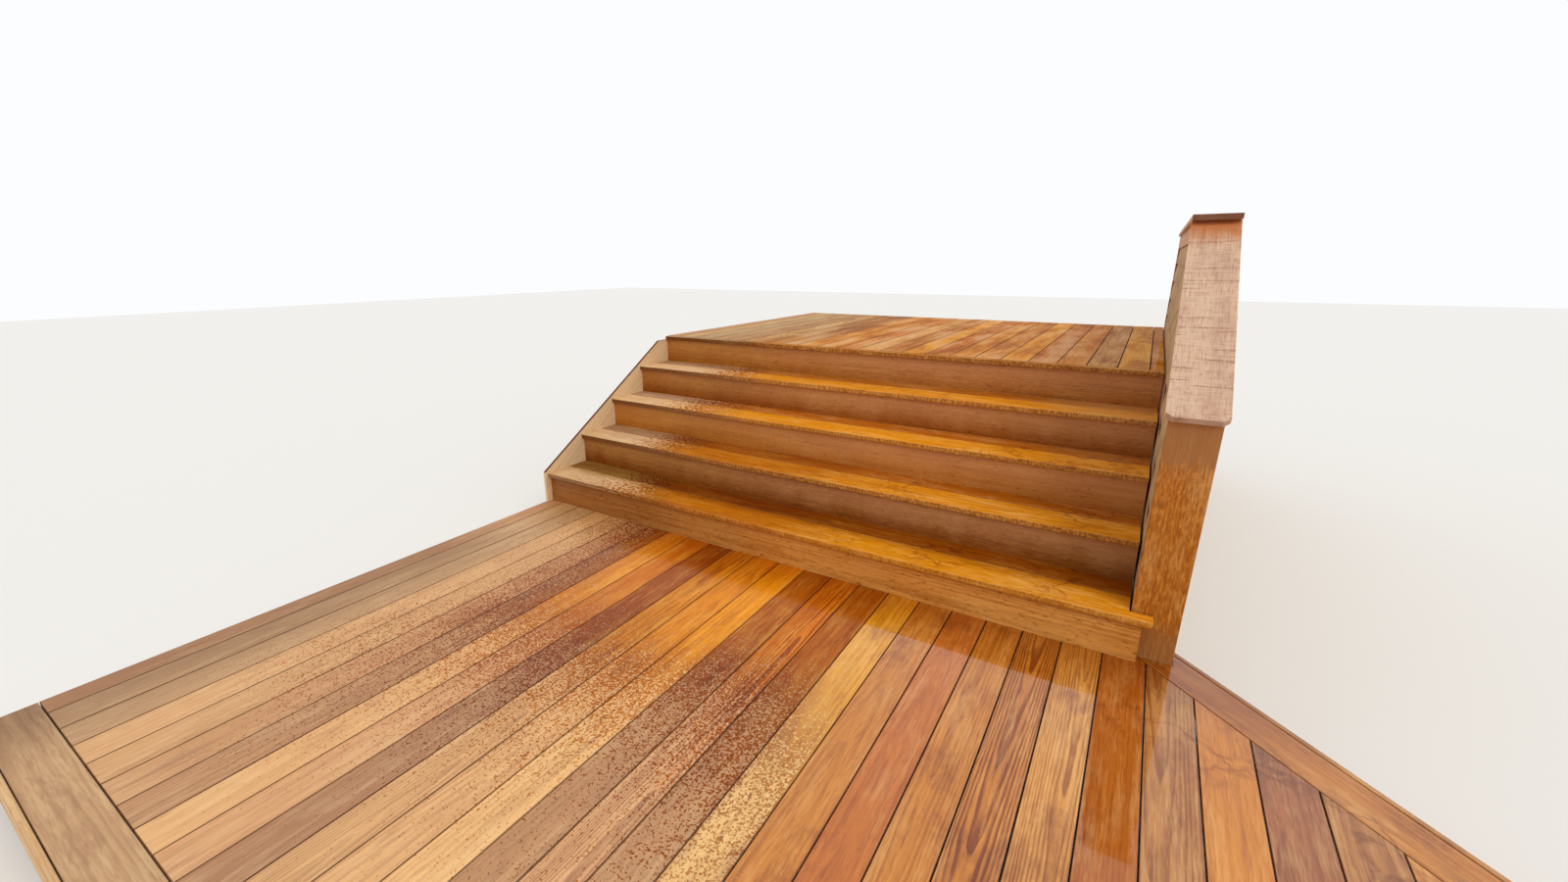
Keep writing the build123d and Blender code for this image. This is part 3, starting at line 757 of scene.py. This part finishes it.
# %% Finishes of boards in the rain
def wet_boards(name, rain, grain, ior, joints=0.0, tread=False):
    """Boards that lie in the rain. joints darkens their edges, as dirt and as painted shade."""
    finish = Finish(name)
    colour, relief = wood_grain(finish, **grain)
    sockets = rained_on(finish, colour, relief, **rain)
    if joints:
        sockets["Base_Color"] = joint_grime_and_shade(finish, sockets["Base_Color"], joints)
    if tread:
        sockets["Base_Color"] = tread_tones(finish, sockets["Base_Color"])
    sockets.update(Coat_Roughness=0.035, Coat_IOR=1.5, IOR=ior, Specular_Tint=warm_sheen)
    return finish.surface(**sockets)


low_deck_rain = {"border": 0.05, "width": 0.9, "gloss": 1.0, "bleach": 0.25, "low_deck": True}
low_deck_grain = {"knots": 0.14, "stain": 0.9}
low_deck_finish = wet_boards("low_deck_wood", low_deck_rain, low_deck_grain, 1.22, joints=0.85)
border_finish = wet_boards("border_wood", low_deck_rain, low_deck_grain, 1.22, joints=0.25)
tread_finish = wet_boards(
    "tread_wood", {"border": 0.15, "width": 0.7, "gloss": 0.24, "speck_scale": 55.0},
    {"fineness": 1.6, "stain": 0.2, "contrast": 1.4, "knots": 0.05}, 1.2, joints=0.5, tread=True,
)
edge_strip_finish = wet_boards(
    "edge_strip_wood", {"border": 0.15, "width": 0.7, "gloss": 0.05},
    {"fineness": 1.6, "stain": 0.2}, 1.0, tread=True,
)
high_deck_finish = wet_boards(
    "high_deck_wood", {"border": 0.1, "width": 0.9, "gloss": 0.10, "puddles": True},
    {"knots": 0.03}, 1.0, joints=0.8,
)

# %% [markdown]
# ## Risers
# Risers stand upright, so they are only damp. Short dashes of wet and dry fibre run along them,
# and drops that bounce off a tread darken the foot of some; that dark foot is also painted shade,
# and the paler part above it is a painted sheen. The left ends of all risers get painted shade.
# They could share the treads' finish, but a film of water doesn't stay on an upright board, so
# they get a duller one of their own.


# %% Finishes of risers
def riser_foot_wet_and_shade(finish, colour, splash):
    """Dark and golden at the foot of a riser, from splashes and as painted shade, with a paler
    painted sheen above.
    """
    x, y, z = finish.xyz
    share = ((z - step_top) / step_rise).math("FRACT")
    reach = finish.noise(finish.place, (9.0, 1.0, 2.0), 3.0) * 0.5
    foot = 1 - (share + reach).between(-0.05, 0.75)
    # painted shade with splash wetness darkens the foot; above it a paler painted sheen
    colour = finish.tint(colour, (0.60, 0.36, 0.10), foot * splash)
    return finish.mix(colour, (0.52, 0.27, 0.15), (1 - foot) * 0.35)


def riser_boards(name, splash=0.0, left_shade_tint=(0.86, 0.78, 0.50)):
    """Upright boards between treads. The tint of their left end is painted shade."""
    finish = Finish(name)
    colour, relief = wood_grain(finish, stain=0.1, contrast=0.45)
    x, y, z = finish.xyz
    damp = finish.noise(finish.place, (2.0, 2.0, 5.0), 3.0).between(-0.15, 0.2)
    colour = finish.tint(colour, (0.90, 0.80, 0.68), damp)
    dash = finish.noise(finish.place, (34.0, 1.0, 120.0), 2.0, 0.6)
    colour = finish.tint(colour, (0.50, 0.36, 0.24), dash.between(0.08, 0.20) * 0.75)
    colour = finish.mix(colour, (0.64, 0.36, 0.16), (dash * -1.0).between(0.06, 0.22) * 0.35)
    if splash:
        colour = riser_foot_wet_and_shade(finish, colour, splash)
    # painted shade: the left end of each riser is tinted darker
    return finish.surface(
        Base_Color=finish.tint(colour, left_shade_tint, 1 - (x - left_side).between(0.4, 2.1)),
        Roughness=0.5 - damp * 0.12,
        Coat_Weight=0.12 * (0.4 + damp * 0.6),
        Coat_Roughness=0.12,
        IOR=1.25,
        Specular_Tint=warm_sheen,
        Normal=finish.bump(relief, 0.0010, 0.35),
    )


soaked_riser_finish = riser_boards("soaked_riser_wood", splash=0.85)
damp_riser_finish = riser_boards("damp_riser_wood", splash=0.35)
# the first riser gets a stronger painted shade at its left end
first_riser_finish = riser_boards("first_riser_wood", left_shade_tint=(0.50, 0.42, 0.45))

# %% [markdown]
# ## The cheek wall's end boards
# Rain ran down the tall board at the wall's front and left fingers of gold and dark flecks. Just
# under the cap, which sheltered it, it stays plain. At its foot, under the first tread, it also
# turns plain, and there the plain colour also stands for painted shade. A gradient would give a
# straight edge, so noise stretched along the board makes the fingers.

# %% Finish of an upright board
cap_shelter = 0.17
cap_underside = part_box("wall_front_board")[1].z
first_tread_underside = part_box("tread_1")[0].z
print(f"dry for {cap_shelter} m under the cap at {cap_underside:.3f} m")


def upright_board(name):
    """A board that rain has run down, dry under the cap, and plain with painted shade below the
    first tread.
    """
    finish = Finish(name)
    colour, relief = wood_grain(finish, ring_width=0.006, fineness=2.2, stain=0.1)
    grain = finish.attribute("grain", "Vector")
    x, y, z = finish.xyz
    finger = finish.noise(grain, (5.0, 60.0, 0.0), 3.0, 0.6)
    drop = cap_underside - z + finger * (cap_shelter * 1.1)
    wet = drop.between(cap_shelter * 0.8, cap_shelter * 1.15)
    # painted shade: below the first tread the board turns mostly to the plain colour
    above = z.between(first_tread_underside - 0.09, first_tread_underside + 0.03)
    wet = wet * (above * 0.7 + 0.3)
    fleck = finish.noise(grain, (32.0, 125.0, 125.0), 2.5, 0.6)
    golden = finish.mix(colour, (0.70, 0.34, 0.065), (fleck * 5.0 + 0.05).clamped() * 0.55)
    golden = finish.mix(golden, (0.21, 0.062, 0.010), (fleck * -5.0 - 0.12).clamped() * 0.65)
    plain_and_foot_shade = finish.mix(colour, (0.34, 0.155, 0.062), 0.75)
    return finish.surface(
        Base_Color=finish.mix(plain_and_foot_shade, golden, wet),
        Roughness=0.55 - wet * 0.25,
        Coat_Weight=wet * 0.4,
        Coat_Roughness=0.10,
        IOR=1.4,
        Specular_Tint=warm_sheen,
        Normal=finish.bump(relief + fleck * 0.8, 0.0012, 0.35),
    )


wall_board_finish = upright_board("wall_board_wood")

# %% [markdown]
# ## Sawn caps, trim and framing
# The caps are rough-sawn planks: the saw leaves fine lines, deeper kerfs and torn fibres across
# them, and the sun has faded them. The framing and the sheathing are plain lumber. Real saw marks
# are grooves, but they are too shallow to model on a part of this size, so they go into tone and
# bump. Faces that take the rain are darkened, as wetness and as painted shade on edges and end
# faces, and water off the level cap stains the sloped one.


# %% Marks of the saw and of water
def saw_cut(finish, grain, colour, relief, strength):
    """Lines, kerfs, torn fibres and nicks that a saw leaves across a plank."""
    fine = finish.noise(grain, (240.0, 14.0, 14.0), 2.0, 0.7)
    fibre = finish.noise(grain, (22.0, 260.0, 260.0), 2.0, 0.7)
    kerf = finish.noise(grain, (58.0, 3.0, 3.0)).between(0.10, 0.16)
    nick = finish.noise(grain, (70.0, 110.0, 110.0)).between(0.16, 0.28)
    blush = finish.noise(grain, (2.5, 9.0, 9.0), 3.0, 0.6).between(-0.02, 0.16)
    mark = (fine + fibre) * (0.9 * strength)
    scorched = finish.mix(colour, (0.34, 0.16, 0.10), 0.75)
    chalky = finish.mix(colour, (0.98, 0.82, 0.68), 0.6)
    torn = (mark * 3.0 + (kerf * 0.7 + nick * 0.8) * strength).clamped()
    colour = finish.mix(colour, (0.62, 0.34, 0.25), blush * (0.45 * strength))
    colour = finish.mix(colour, scorched, torn)
    colour = finish.mix(colour, chalky, (mark * -3.0).clamped())
    return colour, relief + mark - kerf * (0.5 * strength)


def drip_stain(finish, grain, colour, drip_line):
    """Stain in front of a Y at which water runs down from the piece above."""
    x, y, z = finish.xyz
    run = finish.noise(grain, (3.0, 60.0, 0.0), 3.0, 0.6)
    reach = (y + run * 0.26).between(drip_line - 0.17, drip_line + 0.02)
    return finish.mix(colour, (0.48, 0.13, 0.02), reach * 0.85)


# %% Finishes of sawn wood
def sawn_boards(
    name, roughness, fade, faded=(0.68, 0.56, 0.43), saw_marks=0.0, wet_and_shade=None, wet_shade_strength=0.85,
    drip_line=None,
):
    """Rough wood. Faces that look along the given direction are dark with water and painted shade.
    """
    finish = Finish(name)
    colour, relief = wood_grain(finish, ring_width=0.008)
    grain = finish.attribute("grain", "Vector")
    colour = finish.mix(colour, faded, fade)
    if saw_marks:
        colour, relief = saw_cut(finish, grain, colour, relief, saw_marks)
    # wetness and painted shade: faces that look along one direction are darkened
    if wet_and_shade:
        colour = finish.mix(colour, (0.12, 0.035, 0.015), facing(finish, wet_and_shade) * wet_shade_strength)
    if drip_line is not None:
        colour = drip_stain(finish, grain, colour, drip_line)
    return finish.surface(
        Base_Color=colour,
        Roughness=roughness,
        IOR=1.3,
        Specular_Tint=warm_sheen,
        Normal=finish.bump(relief, 0.0012, 0.5),
    )


upward = (0, 0, 1)
forward = (0, -1, 0)
# the trim's upward faces and the caps' front faces get wetness and painted shade
trim_finish = sawn_boards("trim_wood", 0.65, 0.35, saw_marks=0.15, wet_and_shade=upward, wet_shade_strength=1.0)
sloped_cap_finish = sawn_boards(
    "sloped_cap_wood", 0.7, 0.6, faded=(0.98, 0.80, 0.68), saw_marks=1.0, wet_and_shade=forward,
    wet_shade_strength=0.55, drip_line=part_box("level_cap")[0].y,
)
level_cap_finish = sawn_boards("level_cap_wood", 0.7, 0.5, saw_marks=1.0, wet_and_shade=forward)
frame_finish = sawn_boards("framing_lumber", 0.8, 0.15, saw_marks=0.2)
plywood_finish = sawn_boards("plywood", 0.8, 0.2)
shingle_finish = sawn_boards("shingle_wood", 0.75, 0.2)

# %% [markdown]
# ## Boards of the flight and the decks
# Each CAD node now becomes a dressed piece. The pieces could be dressed in one loop with one
# setting, but a real carpenter picks boards one by one: the treads vary in brightness, the second
# riser is the wettest, and the low deck's boards take their tones by name. The boards of both
# decks are settled by half a millimetre, because a wet deck shows the smallest step as a broken
# reflection.

# %% Treads and risers
along_flight = (0, 1, 0)
across_flight = (1, 0, 0)
tread_brightness = (0.97, 1.0, 1.12, 1.04)
riser_brightness = (0.66, 1.14, 0.90, 1.04)
for number, brightness in enumerate(tread_brightness, 1):
    # bronze, the darker tone, lies on the back board of each tread, partly as painted shade
    boards = ["bronze", "flame"] if number == 1 else ["flame", "bronze"]
    dress(
        f"tread_{number}", tread_finish, boards, 0.0015, across_flight,
        brightness=brightness,
    )
dress("riser_1", first_riser_finish, ["toffee"], 0.001, across_flight)
for number, brightness in enumerate(riser_brightness, 2):
    riser_finish = damp_riser_finish if number % 2 else soaked_riser_finish
    dress(
        f"riser_{number}", riser_finish, ["chestnut"], 0.001, across_flight,
        brightness=brightness,
    )

# %% Decks
dress(
    "low_deck_boards", low_deck_finish, low_deck_order, 0.0022, along_flight,
    lift=0.0004, tilt=0.002, figures=strong_figure, brightness=1.14,
)
border_tones = ["stone", "tan", "stone"]
dress(
    "low_deck_border", border_finish, border_tones, 0.0022, lift=0.0003, tilt=0.001,
)
dress("low_deck_fascia", border_finish, ["toffee"])
dress("high_deck_edge_strip", edge_strip_finish, ["tan"], 0.0015, across_flight)
high_deck_tones = ["gold", "honey", "toffee", "tan", "amber", "straw"]
dress(
    "high_deck_boards", high_deck_finish, high_deck_tones, 0.0022, along_flight,
    lift=0.0004, tilt=0.003,
)

# %% [markdown]
# ## Trim, caps and framing
# The trim and the caps show beside the treads, and the framing only from below and behind. It
# could be left as bare CAD there, but a viewer may turn the part over, so it gets plain lumber
# with slightly rounder edges, as studs and joists are milled.

# %% Trim, wall and caps
upright = upward
dress("left_skirt_board", trim_finish, ["cream"], 0.0015)
dress("right_skirt_board", trim_finish, ["stone"], 0.0015)
for side in ("inner", "outer"):
    dress(f"frieze_{side}", trim_finish, ["stone", "tan"], 0.0015)
    dress(f"wall_sheathing_{side}", plywood_finish, ["pine"], 0.0005, upright)
dress("wall_front_board", wall_board_finish, ["russet"], along=upright)
dress("wall_rear_board", wall_board_finish, ["russet"], along=upright)
dress("sloped_cap", sloped_cap_finish, ["shell"], brightness=1.40)
dress("level_cap", level_cap_finish, ["rose"], along=along_flight)

# %% Framing
framing = [
    "stringers", "kick_cleat", "hanger_board", "low_deck_rims", "low_deck_joists",
    "low_deck_posts", "high_deck_rims", "high_deck_ledgers", "high_deck_joists",
    "high_deck_posts", "wall_bottom_plate", "wall_studs", "wall_top_plates",
]
for node in framing:
    dress(node, frame_finish, ["pine", "cream", "pine"], 0.003)

# %% [markdown]
# ## The outline of a shingled wall
# Shingles stop where the wall stops: at its front board, under the sloped band and above the deck.
# They could be laid past the edge and cut with a Boolean, which is slow on hundreds of wedges and
# can leave stray faces. Here each shingle's flat outline is clipped by straight lines before it is
# given any thickness. The lines come from the CAD cladding, which is made of convex pieces.


# %% Clipping to an outline
def clip(polygon, point, inward):
    """The part of a flat polygon on the inner side of a line."""
    kept = []
    for here, ahead in zip(polygon, polygon[1:] + polygon[:1]):
        a = (here - point).dot(inward)
        b = (ahead - point).dot(inward)
        if a >= 0:
            kept.append(here)
        if a * b < 0:
            kept.append(here + (ahead - here) * (a / (a - b)))
    return kept


def clip_to(polygon, outline):
    """The part of a polygon inside a convex outline."""
    for point, inward in outline:
        polygon = clip(polygon, point, inward)
    return polygon


def rectangle(left, right, low, high):
    return [Vector((left, low)), Vector((right, low)), Vector((right, high)), Vector((left, high))]


# %% Outlines of the cladding
def wall_outlines(node):
    """Convex outlines of a cladding node seen from the side, as (point, inward direction)."""
    points = {(round(v.co.y, 4), round(v.co.z, 4)) for v in cad_nodes[node].data.vertices}
    front_y = min(y for y, z in points)
    back_y = max(y for y, z in points)
    top_z = max(z for y, z in points)
    front_low, front_high = (f([z for y, z in points if y == front_y]) for f in (min, max))
    back_low = min(z for y, z in points if y == back_y)
    knee_y = min(y for y, z in points if z == top_z)
    rake = Vector((top_z - front_high, -(knee_y - front_y))).normalized()
    shared = [
        (Vector((knee_y, top_z)), Vector((0, -1))),
        (Vector((front_y, front_high)), rake),
        (Vector((front_y, 0)), Vector((1, 0))),
        (Vector((back_y, 0)), Vector((-1, 0))),
    ]
    if back_low - front_low < 0.1:
        return [shared + [(Vector((0, front_low)), Vector((0, 1)))]]
    corner_y = min(y for y, z in points if abs(z - back_low) < 1e-3 and y > front_y + 0.1)
    foot = Vector((-(back_low - front_low), corner_y - front_y)).normalized()
    lower_foot = [(Vector((front_y, front_low)), foot), (Vector((corner_y, 0)), Vector((-1, 0)))]
    level_foot = [(Vector((0, back_low)), Vector((0, 1))), (Vector((corner_y, 0)), Vector((1, 0)))]
    return [shared + lower_foot, shared + level_foot]


outer_outlines = wall_outlines("cladding_outer")
inner_outlines = wall_outlines("cladding_inner")
print("convex outlines outside and inside:", len(outer_outlines), len(inner_outlines))

# %% [markdown]
# ## Shingles
# Sawn cedar shingles are wedges: thick at the butt, thin at the top, nailed in courses so that
# each course laps the one below. They could be one texture on a wall, but at the edges and corners
# of a real wall the steps show. So each shingle is a small solid wedge. Its width is random, its
# joints stand at least 38 mm off the joints below, and behind the joints lies the course
# underneath.

# %% A face of wedges
exposure = 0.127
butt_out = 0.0225
top_out = 0.006
butt_thickness = 0.009
thinnest_backing = 0.003
shingle_gap = 0.004
least_offset = 0.038
narrow, wide = 0.085, 0.215
print(f"each course shows {exposure * 1000:.0f} mm and stands {butt_out * 1000:.1f} mm out")


class ShingledFace:
    """A wall face under construction: its mesh, and the grain and tone of every vertex."""

    def __init__(self, wall_x, side, outlines):
        self.wall_x = wall_x
        self.side = side
        self.outlines = outlines
        self.mesh = bmesh.new()
        self.grain = []
        self.tone = []

    def add_wedge(self, shape, out_at, grain_at, tone_at):
        """Solids between the wall and a sloping front. Says whether any is on the wall."""
        pieces = [clip_to(shape, outline) for outline in self.outlines]
        pieces = [polygon for polygon in pieces if len(polygon) > 2]
        for polygon in pieces:
            fronts = [self.wall_x + self.side * out_at(p.y) for p in polygon]
            back = [self.mesh.verts.new((self.wall_x, p.x, p.y)) for p in polygon]
            front = [self.mesh.verts.new((x, p.x, p.y)) for x, p in zip(fronts, polygon)]
            self.mesh.faces.new(front)
            self.mesh.faces.new(back[::-1])
            for i in range(len(polygon)):
                j = (i + 1) % len(polygon)
                self.mesh.faces.new((front[i], back[i], back[j], front[j]))
            self.grain += [grain_at(vert.co) for vert in back + front]
            self.tone += [tone_at(vert.co) for vert in back + front]
        return bool(pieces)


# %% Joints of a course
most_tries = 12
print("a shingle's width is drawn up to", most_tries, "times to keep clear of the joints below")


def course_joints(start, end, below):
    """Places of the joints of one course, clear of the joints of the course below."""
    joints = [start]
    while joints[-1] < end:
        for attempt in range(most_tries):
            place = joints[-1] + dice.uniform(narrow, wide)
            if all(abs(place - other) > least_offset for other in below):
                break
        joints.append(place)
    return joints


# %% One shingle
uneven = 0.0015
most_lean = 0.0010
print(f"butts differ by up to {uneven * 1000:.1f} mm")


def lay_shingle(face, left, right, butt):
    """One shingle, a little lower, thinner, darker or warmer than the next."""
    drop = dice.uniform(-uneven, uneven)
    thick = dice.uniform(-uneven, 0.0)
    lean = dice.uniform(-most_lean, 0.0)
    shade = dice.uniform(0.74, 1.14)
    warm = dice.uniform(0, 1)
    cedar = [a + (b - a) * warm for a, b in zip(tones["wheat"], tones["pine"])]
    depth = dice.uniform(0.02, 0.2)
    start = dice.uniform(0, 60)
    half_gap = shingle_gap / 2
    low = max(butt + drop, butt)

    def out_at(z):
        share = (z - butt) / exposure
        return (butt_out + thick) * (1 - share) + (top_out + lean) * share

    def grain_at(place):
        return (start + place.z, place.y, depth + abs(place.x - face.wall_x))

    def tone_at(place):
        # darker towards the butt of each shingle
        butt_darkening = shade * (0.72 + 0.28 * (place.z - butt) / exposure)
        return (*(c * butt_darkening for c in cedar), 0.25)

    shape = rectangle(left + half_gap, right - half_gap, low, butt + exposure)
    return face.add_wedge(shape, out_at, grain_at, tone_at)


# %% The course underneath
def lay_backing(face, front, back, butt):
    """The course underneath, coloured dark as painted shade where it shows between the shingles."""
    # painted shade: the course underneath is made dark in the gaps
    dark = (*(c * 0.35 for c in tones["stone"]), 0.2)

    def out_at(z):
        return max(butt_out * (1 - (z - butt) / exposure) - butt_thickness, thinnest_backing)

    shape = rectangle(front, back, butt, butt + exposure)
    face.add_wedge(shape, out_at, lambda place: (place.z, place.y, 0.1), lambda place: dark)


# %% Shingles on both sides of the wall
def shingled(node, wall_x, side, outlines):
    """Shingles in the place of a cladding node. side is the way that they face along X."""
    low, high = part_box(node)
    lowest_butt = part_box("cladding_outer")[0].z
    face = ShingledFace(wall_x, side, outlines)
    first = int((low.z - lowest_butt) / exposure)
    last = math.ceil((high.z - lowest_butt) / exposure)
    laid = 0
    below = []
    for course in range(first, last):
        butt = lowest_butt + course * exposure
        joints = course_joints(low.y - dice.uniform(0, narrow), high.y, below)
        laid += sum(lay_shingle(face, *pair, butt) for pair in zip(joints, joints[1:]))
        below = joints
        lay_backing(face, low.y, high.y, butt)
    bmesh.ops.recalc_face_normals(face.mesh, faces=face.mesh.faces)
    name = "shingles_" + node.split("_")[1]
    grain, tone = (np.array(held, np.float32) for held in (face.grain, face.tone))
    made = finish_object(name, face.mesh, grain, tone)
    take_place(made, node, shingle_finish)
    print(f"{name}: {laid} shingles in {last - first} courses, {len(made.data.polygons)} faces")


shingled("cladding_inner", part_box("wall_sheathing_inner")[0].x, -1, inner_outlines)
shingled("cladding_outer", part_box("wall_sheathing_outer")[1].x, 1, outer_outlines)

# %% [markdown]
# ## Floor, sky and lamp
# A pale floor catches the shadow, and an even white sky lights the boards as an overcast day does.
# Wet wood shows whatever it mirrors, so the sky that glossy rays see is as white as the one behind
# the object, and one far, soft lamp from the open side gives the steps a direction. A near area
# lamp would leave a bright pool on the floor.

# %% Floor
half = 30
floor_z = -0.001
floor_mesh = bpy.data.meshes.new("floor")
corners = [(-half, -half), (half, -half), (half, half), (-half, half)]
floor_mesh.from_pydata([(x, y, floor_z) for x, y in corners], [], [(0, 1, 2, 3)])
floor = bpy.data.objects.new("floor", floor_mesh)
bpy.context.scene.collection.objects.link(floor)
floor_finish = Finish("pale_floor")
floor_mesh.materials.append(floor_finish.surface(Base_Color=(0.86, 0.86, 0.85, 1), Roughness=0.9))

# %% An even sky, brighter where it is seen than where it lights
sky_level = 0.80
world = bpy.data.worlds.new("overcast")
bpy.context.scene.world = world
sky = Graph(world)
camera_ray = sky.node("LightPath", output="Is Camera Ray")
shown = camera_ray.math("MAXIMUM", camera_ray.other("Is Glossy Ray"))
shown = shown.math("MAXIMUM", camera_ray.other("Is Transmission Ray"))
lit = sky.node("Background", {}, {"Color": (1.0, 0.98, 0.95, 1), "Strength": sky_level})
seen = sky.node("Background", {}, {"Color": (0.97, 0.98, 1.0, 1)})
sky.node("OutputWorld", {}, {"Surface": sky.node("MixShader", {}, {0: shown, 1: lit, 2: seen})})
print("the sky lights the boards at", sky_level)


# %% One soft lamp
def soft_lamp(name, place, aim, spread, strength, colour):
    """A far lamp that shines from a place towards a point. A wide spread softens shadows."""
    data = bpy.data.lights.new(name, "SUN")
    data.angle = math.radians(spread)
    data.energy = strength
    data.color = colour
    lamp = bpy.data.objects.new(name, data)
    lamp.location = place
    lamp.rotation_euler = (Vector(aim) - Vector(place)).to_track_quat("-Z", "Y").to_euler()
    lamp.visible_glossy = False
    bpy.context.scene.collection.objects.link(lamp)
    print(name, "shines at", strength)


soft_lamp(
    "soft_key", place=(5.5, -4.0, 7.0), aim=(-0.5, 0.5, 0.6), spread=30.0, strength=1.12,
    colour=(1.0, 0.97, 0.93),
)
bpy.context.scene.view_settings.view_transform = "Standard"
